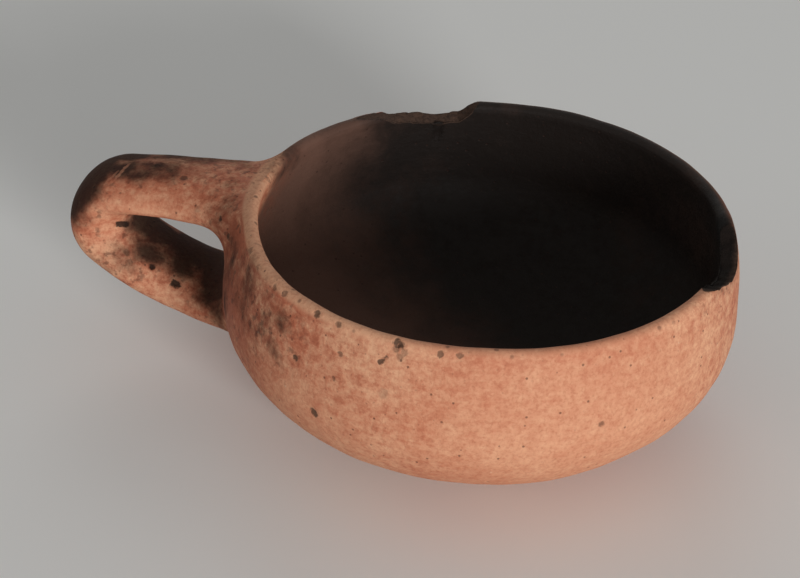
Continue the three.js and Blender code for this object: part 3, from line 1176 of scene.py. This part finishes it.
class Sheet:
    """The node tree of one material or world."""

    def __init__(self, tree: bpy.types.NodeTree) -> None:
        """Takes over a tree and empties it."""
        self.tree = tree
        tree.nodes.clear()

    @classmethod
    def finish(cls, name: str) -> tuple[bpy.types.Material, "Sheet"]:
        """Makes an empty material.

        Args:
            name: The material's name.

        Returns:
            The material and its sheet.
        """
        made = bpy.data.materials.new(name)
        made.use_nodes = True
        return made, cls(made.node_tree)

    def node(
        self,
        kind: str,
        settings: dict[str, Any] | None = None,
        sockets: dict[str | int, Any] | None = None,
        output: str | int = 0,
    ) -> Wire:
        """Adds a node.

        Args:
            kind: The node's type.
            settings: Its properties, which are set first.
            sockets: Wires or values for its inputs, by name or number.
            output: Which output to return.

        Returns:
            The chosen output, or the node's first input where it has no outputs.
        """
        made = self.tree.nodes.new(kind)
        for name, value in (settings or {}).items():
            setattr(made, name, value)
        for name, value in (sockets or {}).items():
            if isinstance(value, Wire):
                self.tree.links.new(value.socket, made.inputs[name])
            else:
                made.inputs[name].default_value = value
        return Wire(self, made.outputs[output] if made.outputs else made.inputs[0])

    def vector(self, operation: str, sockets: dict[str | int, Any], output: str | int = 0) -> Wire:
        """Adds a Vector Math node with its operation, inputs and chosen output."""
        return self.node("ShaderNodeVectorMath", {"operation": operation}, sockets, output)

    def surface(self, sockets: dict[str | int, Any]) -> None:
        """Ends the sheet with a shader that has the given inputs."""
        shader = self.node("ShaderNodeBsdfPrincipled", {}, sockets)
        self.node("ShaderNodeOutputMaterial", {}, {"Surface": shader})

    def mix(self, first: Any, second: Any, share: Any) -> Wire:
        """Mixes two colours.

        Args:
            first: A wire or a Tone, shown where the share is 0.
            second: A wire or a Tone, shown where the share is 1.
            share: A wire or a number.

        Returns:
            The mixed colour.
        """
        ends = [tone.linear if isinstance(tone, Tone) else tone for tone in (first, second)]
        return self.node("ShaderNodeMix", {"data_type": "RGBA"}, {0: share, 6: ends[0], 7: ends[1]}, 2)

    def coat(self, coat: Coat) -> Wire:
        """A coat's share as the mesh holds it."""
        return self.node("ShaderNodeAttribute", {"attribute_name": coat.value}, output="Fac")

    def cloud(self, place: Wire, pattern: Cloud) -> Wire:
        """Noise in space.

        Args:
            place: Place in millimetres.
            pattern: The noise.

        Returns:
            Values about 0.
        """
        sockets = {
            "Vector": place,
            "Scale": 1.0 / pattern.size,
            "Detail": pattern.detail,
            "Roughness": pattern.roughness,
            "Distortion": pattern.twist,
        }
        return self.node("ShaderNodeTexNoise", {"normalize": True}, sockets) - 0.5

    def spot(self, place: Wire, mark: Mark, ragged: Wire) -> Wire:
        """The stain of a mark, with a ragged edge, as far as the mark is wide and half as far as it is deep.

        Args:
            place: Place in millimetres.
            mark: The mark.
            ragged: Noise about 0 that makes the edge ragged.

        Returns:
            The mark's stain on it and 0 beside it.
        """
        way = Vector(mark.way)
        offset = self.vector("SUBTRACT", {0: place, 1: mark.place})
        line = (0.0, 0.0, 0.0)
        if way.length > 0:
            dot = self.vector("DOT_PRODUCT", {0: offset, 1: way}, "Value")
            along = self.node("ShaderNodeClamp", {}, {0: dot * (1.0 / way.length_squared), 1: -1.0, 2: 1.0})
            line = self.vector("SCALE", {0: way, "Scale": along})
        distance = self.vector("DISTANCE", {0: offset, 1: line}, "Value")
        reach = mark.radius + mark.depth / 2
        return (distance * (1.0 / reach) + ragged).step(1.1, 0.6) * mark.stain

    def spots(self, place: Wire, marks: tuple[Mark, ...], ragged: Wire) -> Wire:
        """The stains of several marks.

        Args:
            place: Place in millimetres.
            marks: The marks.
            ragged: Noise about 0 that makes their edges ragged.

        Returns:
            The strongest stain at each place.
        """
        stains = [self.spot(place, mark, ragged) for mark in marks]
        return reduce(Wire.most, stains)

    def grit(self, place: Wire, pattern: Grit) -> Wire:
        """Scattered specks.

        Args:
            place: Place in millimetres.
            pattern: The specks.

        Returns:
            1 on a speck and 0 beside it.
        """
        sockets = {"Vector": place, "Scale": 1.0 / pattern.spacing}
        distance, chance = (
            self.node("ShaderNodeTexVoronoi", {"feature": "F1"}, sockets, output)
            for output in ("Distance", "Color")
        )
        hidden = 1.0 - pattern.share
        kept = self.node("ShaderNodeSeparateColor", {}, {0: chance}).step(hidden, hidden + 0.02)
        edge = pattern.radius / pattern.spacing
        return distance.step(edge, 0.45 * edge) * kept


@dataclass(frozen=True)
class SlipFinish:
    """Red slip: its colours, how fully it covers the clay, its patterns and its surface."""

    ground: Tone = Tone(184, 106, 77)
    thick: Tone = Tone(141, 76, 54)
    grit: Tone = Tone(54, 35, 28)
    pit: Tone = Tone(25, 18, 15)
    lime: Tone = Tone(216, 182, 154)
    cover: float = 0.64
    poured_on: float = 0.3
    rubbed_off: float = 0.14
    pit_cover: float = 0.92
    clouds: Cloud = Cloud(30.0, 4.0, 0.55, 0.3)
    mottle: Cloud = Cloud(2.9, 6.0, 0.66, 0.15)
    grain: Cloud = Cloud(1.1, 4.0, 0.65)
    blots: Cloud = Cloud(2.6, 3.0, 0.5)
    smears: Cloud = Cloud(8.0, 3.0, 0.5)
    streaks: Cloud = Cloud(1.9, 4.0, 0.62)
    streak_squeeze: Place = (0.1, 0.1, 1.0)
    chips: Grit = Grit(4.6, 1.0, 0.4)
    specks: Grit = Grit(3.3, 0.5, 0.42)
    lime_specks: Grit = Grit(6.5, 0.5, 0.35)
    fine_specks: Grit = Grit(2.0, 0.38, 0.4)
    roughness: float = 0.6
    gloss: float = 0.16
    relief: float = 0.9


@dataclass(frozen=True)
class ClayFinish:
    """The buff clay under the slip, where the slip has worn thin or rubbed off."""

    clay: Tone = Tone(219, 166, 131)
    stain: Tone = Tone(193, 134, 103)
    roughness: float = 0.78


@dataclass(frozen=True)
class SootAndShadeFinish:
    """Soot and dark grime from use over a fire, painted shade in the same colour, and the inside's darker
    colour with its painted shade.
    """

    # Colour of soot and grime, and of the painted shade that the soot coat carries.
    soot: Tone = Tone(18, 14, 12)
    # The inside's darker colour, its colour under the rim above the painted shade, and the painted shade at
    # its darkest.
    inside: Tone = Tone(105, 76, 64)
    inside_edge: Tone = Tone(119, 83, 68)
    deepest_inside_shade: Tone = Tone(30, 24, 21)
    cover: float = 0.92
    roughness: float = 0.85


@dataclass(frozen=True)
class BrokenFinish:
    """Old breaks: dark brown clay, darker in the core."""

    clay: Tone = Tone(84, 64, 53)
    core: Tone = Tone(50, 38, 32)
    roughness: float = 0.92


@dataclass(frozen=True)
class BowlCoat:
    """All that lies on the clay, layered as one material for every piece."""

    dents: tuple[Mark, ...]
    scuffs: tuple[Mark, ...]
    slip: SlipFinish = SlipFinish()
    clay: ClayFinish = ClayFinish()
    soot: SootAndShadeFinish = SootAndShadeFinish()
    broken: BrokenFinish = BrokenFinish()

    def material(self) -> bpy.types.Material:
        """The material, whose patterns lie in the bowl's own frame and so run on from piece to piece.

        Returns:
            The material.
        """
        made, sheet = Sheet.finish("worn_red_slip")
        slip, clay = self.slip, self.clay
        metres = sheet.node("ShaderNodeTexCoord", output="Object")
        place = sheet.vector("SCALE", {0: metres, "Scale": 1.0 / MM})
        clouds, mottle, grain, blots, smears = (
            sheet.cloud(place, pattern)
            for pattern in (slip.clouds, slip.mottle, slip.grain, slip.blots, slip.smears)
        )
        streaks = sheet.cloud(sheet.vector("MULTIPLY", {0: place, 1: slip.streak_squeeze}), slip.streaks)
        chips, specks, lime, fine = (
            sheet.grit(place, pattern)
            for pattern in (slip.chips, slip.specks, slip.lime_specks, slip.fine_specks)
        )
        # These coats carry painted light and shade too: soot with painted shade, rubbing with painted light,
        # thick slip with painted shade, wear on the lip with painted light.
        soot_and_shade_share, rubbed, thick, lip = (
            sheet.coat(coat) for coat in (Coat.SOOT, Coat.RUBBED, Coat.THICK, Coat.WORN)
        )
        ragged = grain * 1.2 + mottle * 1.7
        pitted = sheet.spots(place, self.dents, ragged)
        scuffed = sheet.spots(place, self.scuffs, ragged)
        # Soot and painted shade, broken up by smears and grain.
        soot = (soot_and_shade_share + smears + grain * 0.2).step(0.2, 0.95) * (1.0 - scuffed * 0.7)
        # Wear on the foot and on the lip, the lip's share partly painted light.
        worn = (lip + mottle * 0.9 + grain * 0.5).step(0.2, 0.9)
        broken = sheet.coat(Coat.BROKEN).step(0.25, 0.65)

        # The rubbed coat thins the slip; on the front and the lower belly that paler slip is painted light.
        patches = (clouds + mottle * 1.4 + streaks * 0.5) * (1.0 - rubbed * 0.6)
        cover = slip.cover + thick * slip.poured_on - rubbed * slip.rubbed_off + patches
        slipped = cover.step(0.2, 0.9) * (1.0 - worn * 0.8)
        bare = sheet.mix(clay.clay, clay.stain, grain.step(-0.08, 0.18) * 0.7)
        red = sheet.mix(slip.ground, slip.thick, mottle.step(-0.02, 0.2) * (0.5 - rubbed * 0.4))
        red = sheet.mix(red, slip.thick, grain.step(-0.02, 0.22) * (0.4 - rubbed * 0.2))
        # Thick slip, which beside the handle is painted shade.
        red = sheet.mix(red, slip.thick, thick * 0.85)
        colour = sheet.mix(bare, red, slipped)
        colour = sheet.mix(colour, slip.lime, lime * 0.5)
        blotted = blots.step(0.04, 0.18) * soot_and_shade_share.step(0.05, 0.3) * soot_and_shade_share.step(0.7, 0.4)
        colour = sheet.mix(colour, slip.grit, blotted * 0.5)
        colour = sheet.mix(colour, self._shaded_inside_colour(sheet, mottle, clouds), sheet.coat(Coat.INSIDE))
        core = grain.step(-0.1, 0.15) * 0.5 + mottle.step(-0.1, 0.1) * 0.3
        colour = sheet.mix(colour, sheet.mix(self.broken.clay, self.broken.core, core), broken)
        colour = sheet.mix(colour, slip.grit, specks * 0.6 + fine * (0.4 - rubbed * 0.3))
        colour = sheet.mix(colour, clay.clay, scuffed * 0.4)
        # Soot and painted shade laid over everything else.
        colour = sheet.mix(colour, self.soot.soot, soot * self.soot.cover)
        pits = pitted.most(chips * lip.step(0.1, 0.4) * 0.6)
        colour = sheet.mix(colour, slip.pit, pits * slip.pit_cover)

        rough = slip.roughness + grain * 0.25 + clouds * 0.2
        for share, finish in ((1.0 - slipped, clay), (soot, self.soot), (broken, self.broken)):
            rough = rough + share * (finish.roughness - slip.roughness)
        relief = grain * 0.16 + mottle * 0.25 + streaks * 0.1 + slipped * 0.04
        relief = relief - specks * 0.15 + lime * 0.06 - pitted * 0.2
        relief = relief + broken * (grain + 0.5) * 0.35
        normal = sheet.node("ShaderNodeBump", {}, {"Strength": slip.relief, "Distance": MM, "Height": relief})
        sheet.surface({
            "Base Color": colour,
            "Roughness": rough,
            "Normal": normal,
            "Specular IOR Level": slip.gloss,
        })
        return made

    def _shaded_inside_colour(self, sheet: Sheet, mottle: Wire, clouds: Wire) -> Wire:
        """Colour of the inside, with painted shade below an uneven upper line.

        Args:
            sheet: The material's sheet.
            mottle: Fine clouds.
            clouds: Wide clouds.

        Returns:
            The colour.
        """
        finish = self.soot
        # Painted shade, made uneven by clouds.
        painted_shade = sheet.coat(Coat.SMOKED) + mottle * 0.25 + clouds * 0.9
        edge = sheet.mix(finish.inside_edge, self.slip.thick, mottle.step(-0.1, 0.12) * 0.4)
        deep = sheet.mix(finish.inside, finish.deepest_inside_shade, painted_shade.step(1.0, 2.0))
        return sheet.mix(edge, deep, painted_shade.step(0.0, 1.0))


@dataclass(frozen=True)
class Lamp:
    """A soft studio lamp that faces the bowl."""

    name: str
    azimuth: float
    elevation: float
    distance: float
    width: float
    level: float

    def build(self, target: Vector) -> bpy.types.Object:
        """Puts the lamp in the scene.

        Args:
            target: What it faces, in metres.

        Returns:
            The lamp.
        """
        data = bpy.data.lights.new(self.name, "AREA")
        data.shape = "DISK"
        data.size = self.width
        data.energy = self.level * math.pi**2 * self.distance**2
        lamp = put_in_scene(self.name, data)
        back = from_angles(self.azimuth, self.elevation)
        lamp.location = target + back * self.distance
        lamp.rotation_euler = (-back).to_track_quat("-Z", "Y").to_euler()
        return lamp


def from_angles(azimuth: float, elevation: float) -> Vector:
    """Unit vector towards a place round the bowl.

    Args:
        azimuth: Degrees, 0 in front, where a camera looks along +Y, and 90 at +X.
        elevation: Degrees above the table.

    Returns:
        The vector.
    """
    turn, rise = math.radians(azimuth), math.radians(elevation)
    return Vector((math.sin(turn) * math.cos(rise), -math.cos(turn) * math.cos(rise), math.sin(rise)))


@dataclass
class Studio:
    """A plain pale table, soft lamps and even light from all round."""

    table_half: float = 4.0
    table_drop: float = 0.0001
    table_tone: Tone = Tone(244, 244, 241)
    table_roughness: float = 0.95
    table_gloss: float = 0.1
    light_tone: Tone = Tone(255, 255, 255)
    distance_tone: Tone = Tone(190, 191, 188)
    ambient: float = 0.25
    lamps: tuple[Lamp, ...] = (
        Lamp("key_lamp", 42.0, 11.0, 2.8, 0.8, 0.78),
        Lamp("fill_lamp", -55.0, 7.0, 2.6, 1.6, 0.09),
        Lamp("rear_lamp", -160.0, 30.0, 2.4, 1.4, 0.12),
    )

    def build(self, target: Vector) -> None:
        """Makes the table, the lamps and the world.

        Args:
            target: What the lamps face, in metres.
        """
        side = self.table_half
        mesh = bpy.data.meshes.new("table")
        corners = [(-side, -side, 0.0), (side, -side, 0.0), (side, side, 0.0), (-side, side, 0.0)]
        mesh.from_pydata(corners, [], [(0, 1, 2, 3)])
        table = put_in_scene("table", mesh)
        table.location.z = -self.table_drop
        mesh.materials.append(self._table_finish())
        for lamp in self.lamps:
            lamp.build(target)
        self._world()

    def _table_finish(self) -> bpy.types.Material:
        """Matt pale paper.

        Returns:
            The table's material.
        """
        made, sheet = Sheet.finish("pale_table")
        sheet.surface({
            "Base Color": self.table_tone.linear,
            "Roughness": self.table_roughness,
            "Specular IOR Level": self.table_gloss,
        })
        return made

    def _world(self) -> None:
        """Even light from all round, with a plain pale colour where the camera sees past the table."""
        world = bpy.data.worlds.new("studio")
        world.use_nodes = True
        bpy.context.scene.world = world
        sheet = Sheet(world.node_tree)
        light, seen = (
            sheet.node("ShaderNodeBackground", {}, {"Color": tone.linear, "Strength": strength})
            for tone, strength in ((self.light_tone, self.ambient), (self.distance_tone, 1.0))
        )
        camera, glossy = (
            sheet.node("ShaderNodeLightPath", output=ray) for ray in ("Is Camera Ray", "Is Glossy Ray")
        )
        mixed = sheet.node("ShaderNodeMixShader", {}, {0: camera.most(glossy), 1: light, 2: seen})
        sheet.node("ShaderNodeOutputWorld", {}, {"Surface": mixed})


@dataclass(frozen=True)
class Viewpoint:
    """The camera at the photograph's viewing angle.

    It is aimed past the rim, so that the bowl sits right of the middle of the picture.
    """

    azimuth: float = 15.5
    elevation: float = 32.717
    roll: float = 2.137
    distance: float = 675.0
    aim_left: float = 25.25
    aim_down: float = 24.39
    focal_pixels: float = 2170.3
    sensor_width: float = 36.0

    def build(self, rim_middle: Vector) -> bpy.types.Object:
        """Makes the scene's camera.

        Args:
            rim_middle: Middle of the rim in metres.

        Returns:
            The camera.
        """
        data = bpy.data.cameras.new("viewpoint")
        data.sensor_width = self.sensor_width
        data.lens = self.focal_pixels * self.sensor_width / IMAGE_WIDTH
        back = from_angles(self.azimuth, self.elevation)
        right = Vector((0.0, 0.0, 1.0)).cross(back).normalized()
        up = back.cross(right)
        offset = self.distance * back - self.aim_left * right - self.aim_down * up
        turned = Matrix.Rotation(math.radians(self.roll), 3, back)
        axes = Matrix((turned @ right, turned @ up, back)).transposed()
        camera = put_in_scene("viewpoint", data)
        camera.matrix_world = Matrix.Translation(rim_middle + offset * MM) @ axes.to_4x4()
        bpy.context.scene.camera = camera
        return camera


def rim_losses() -> tuple[RimLoss, ...]:
    """A flat break at the back of the rim and a broken edge opposite the handle.

    Returns:
        The two losses.
    """
    back = (
        (-13, 0.6), (-10.5, -1.4), (-8, -3.3), (-5.5, -5.7), (0, -6),
        (11, -4.9), (18, -3.4), (20.5, -2.2), (33, 0),
    )
    far_side = ((-27, 1), (-15, -2.2), (-5, -5.4), (4, -6), (13, -3), (21, 1))
    return RimLoss(116, back), RimLoss(1, far_side)


def dents(shape: BowlShape) -> tuple[Mark, ...]:
    """Pits, nicks and scratches that show from a step away.

    Args:
        shape: The wall that they lie on.

    Returns:
        The dents, those of the wall first and those of the handle after them.
    """
    on_lip = shape.height - 1.0
    return (
        Mark(shape.spot(-94.3, on_lip), 1.5, 1.0, stain=0.9),
        Mark(shape.spot(-94.7, 68.6), 1.2, 0.4, stain=0.5),
        Mark(shape.spot(-92.9, 68.0), 1.0, 0.3, stain=0.4),
        Mark(shape.spot(-93.7, 66.6), 1.1, 0.3, stain=0.45),
        Mark(shape.spot(-97, 64.6), 0.7, 0.3, way=(0.9, 0.0, 1.0), stain=0.85),
        Mark(shape.spot(-112, 39.0), 1.4, 0.6, stain=0.85),
        Mark(shape.spot(-118, 54.2), 1.0, 0.4, stain=0.85),
        Mark(shape.spot(-107, 62.0), 0.8, 0.3, stain=0.6),
        Mark(shape.spot(-107.5, 54.0), 0.8, 0.3, stain=0.6),
        Mark(shape.spot(-96, 54.7), 1.6, 0.3, stain=0.25),
        Mark(shape.spot(-115, 70.0), 1.1, 0.5, stain=0.8),
        Mark(shape.spot(-109, on_lip), 1.0, 0.4, stain=0.7),
        Mark(shape.spot(-85, 69.5), 0.9, 0.4, stain=0.7),
        Mark(shape.spot(-81, 69.8), 0.9, 0.4, stain=0.6),
        Mark(shape.spot(-49.5, 45.7), 1.0, 0.3, stain=0.6),
        Mark(shape.spot(-129.5, 69.4), 1.1, 0.3, stain=0.55),
        Mark(shape.spot(-125.7, 70.0), 1.0, 0.3, stain=0.55),
        Mark(shape.spot(-135, 53.4), 1.2, 0.2, stain=0.45),
        Mark((-33.8, 65.8, 60.0), 1.8, 0.7, way=(0.0, 0.0, 2.6), stain=0.9),
        Mark((-107.1, -12.0, 36.0), 1.0, 0.8),
        Mark((-98.6, -12.9, 31.8), 1.1, 0.8, way=(0.7, -0.2, 0.2)),
        Mark((-115.3, -12.6, 40.3), 1.1, 0.5, stain=0.6),
        Mark((-118.0, -9.0, 48.3), 0.9, 0.35, way=(1.0, 1.9, -0.9)),
        Mark((-79.6, -15.0, 67.7), 1.0, 0.5, stain=0.8),
        Mark((-81.7, -20.1, 64.1), 0.8, 0.4, stain=0.8),
        Mark((-77.4, -23.9, 61.0), 1.0, 0.4, stain=0.8),
        Mark((-97.6, -6.2, 68.0), 1.3, 0.2, stain=0.7),
    )


def scuffs(shape: BowlShape) -> tuple[Mark, ...]:
    """Pale scratches through the soot on the handle, and a rubbed spot on the wall.

    Args:
        shape: The wall that the spot lies on.

    Returns:
        The scuffs.
    """
    return (
        Mark((-119.5, -5.0, 65.8), 0.7, way=(-0.8, -4.2, -0.8), stain=0.65),
        Mark((-122.0, -8.0, 64.4), 0.6, way=(-1.2, -3.0, -0.8), stain=0.4),
        Mark((-107.0, 2.8, 67.6), 2.2, way=(3.0, 1.0, 0.0), stain=0.5),
        Mark(shape.spot(-134, 62.3), 0.9, way=(0.2, -0.2, 1.5)),
    )


def soot_and_shade_smudges() -> tuple[Smudge, ...]:
    """Soot, grime and painted shade over the slip.

    Returns:
        Soot over the handle's top and upper root, soot with painted shade over its bend, painted shade inside
        its loop, at its roots and on the wall beside it, grime on the front wall, painted shade at the far
        break.
    """
    return (
        Smudge((-111.0, -4.0, 67.0), (25.0, 8.5, 9.0), 0.85),
        # Soot, with painted shade, over the outer side of the handle's bend.
        Smudge((-135.0, 1.0, 61.0), (17.0, 28.0, 21.0), 1.2),
        Smudge((-130.0, -13.0, 55.0), (11.0, 10.0, 15.0), 0.42),
        Smudge((-113.0, 10.0, 66.0), (40.0, 12.0, 14.0), 0.75),
        Smudge((-121.0, 7.0, 66.0), (11.0, 8.0, 7.0), 1.05),
        Smudge((-86.0, 0.0, 69.0), (16.0, 16.0, 10.0), 0.4),
        # Painted shade in the corner at the near side of the upper root.
        Smudge((-82.0, -17.0, 63.0), (10.0, 12.0, 11.0), 0.45),
        Smudge((-72.0, 13.0, 69.0), (9.0, 19.0, 8.0), 0.55),
        # Painted shade, with some soot, inside the loop: over the lower arm's upper face, the bend's inner
        # face and the lower arm's near side.
        Smudge((-108.0, 3.0, 46.0), (16.0, 18.0, 13.0), 1.2),
        Smudge((-95.0, 4.0, 42.0), (17.0, 21.0, 18.0), 1.2),
        Smudge((-84.0, -6.0, 34.0), (13.0, 17.0, 14.0), 1.2),
        Smudge((-98.0, -5.5, 35.0), (24.0, 8.0, 9.0), 0.95),
        Smudge((-107.0, -5.0, 40.0), (16.0, 11.0, 10.0), 0.95),
        Smudge((-117.0, -15.0, 38.0), (16.0, 10.0, 12.0), 0.42),
        # Painted shadow of the belly over the lower arm's root.
        Smudge((-80.5, -17.0, 28.0), (7.0, 7.0, 8.0), 0.9),
        # Painted shade on the wall beside the handle, which faces away from the light.
        Smudge((-75.0, -33.0, 52.0), (14.0, 19.0, 19.0), 0.62),
        Smudge((-63.0, -48.0, 60.0), (15.0, 17.0, 14.0), 0.5),
        Smudge((-44.0, -66.5, 62.0), (6.5, 6.5, 5.5), 0.55),
        Smudge((-47.0, -66.5, 53.0), (5.5, 5.5, 5.0), 0.6),
        Smudge((-50.0, -62.0, 58.0), (22.0, 20.0, 16.0), 0.36),
        Smudge((-66.0, -44.0, 42.0), (24.0, 26.0, 24.0), 0.22),
        # Painted shade on the break opposite the handle, which faces away from the light.
        Smudge((70.5, 3.0, 66.0), (7.5, 29.0, 9.0), 1.6),
    )


def rubs_and_painted_light() -> tuple[Smudge, ...]:
    """Where the slip is thinned to an even pale red: by handling, and as painted light on the front and low
    on the belly.

    Returns:
        Painted light on the front and low down, and rubbing on the handle's near side.
    """
    return (
        # Painted light: the front, where the light falls, made paler.
        Smudge((48.0, -66.0, 36.0), (74.0, 62.0, 60.0), 1.0),
        Smudge((-112.0, -20.0, 58.0), (26.0, 13.0, 15.0), 0.7),
        # Painted light: the lower belly, lit from the table below, made paler.
        Smudge((-32.0, -64.0, 27.0), (46.0, 40.0, 32.0), 0.9),
    )


def pours_and_shade() -> tuple[Smudge, ...]:
    """Where the slip lies thick and dark, and where thick slip stands in for painted shade.

    Returns:
        Thick slip on the wall beside the handle, where it is painted shade, and in runs at the back.
    """
    return (
        # Painted shade on the wall beside the handle, which faces away from the light.
        Smudge((-74.0, -34.0, 52.0), (16.0, 24.0, 22.0), 1.0),
        Smudge((-60.0, -50.0, 50.0), (20.0, 22.0, 24.0), 0.35),
        Smudge((-20.0, 80.0, 40.0), (40.0, 20.0, 30.0), 0.5),
        Smudge((72.0, 40.0, 30.0), (22.0, 34.0, 30.0), 0.45),
    )


def main() -> None:
    """Builds the bowl, its finish, the studio and the camera."""
    logging.basicConfig(level=logging.INFO, format="%(name)s: %(message)s")
    bpy.context.scene.view_settings.view_transform = "Standard"
    shape = BowlShape.from_frame()
    rim_middle = Vector((0.0, 0.0, shape.height * MM))
    Viewpoint().build(rim_middle)
    line = HandleLine(shape, reach=-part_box("loop_handle")[0].x / MM)
    potter = Potter(shape, dents(shape), soot_and_shade_smudges(), rubs_and_painted_light(), pours_and_shade())
    coat = BowlCoat(potter.settled(potter.dents), potter.settled(scuffs(shape))).material()
    pieces = (
        BowlBody("bowl_body", shape, losses=rim_losses()),
        LoopHandle("loop_handle", shape, line=line),
        LutingClay("upper_luting_clay", shape, line=line, root=Root.RIM, far_share=0.45),
        LutingClay("lower_luting_clay", shape, line=line, root=Root.BELLY),
    )
    for piece in pieces:
        piece.dress(piece.build(potter), coat)
    Studio().build(Vector((0.0, 0.0, shape.widest_height * MM)))


if __name__ == "__main__":
    main()
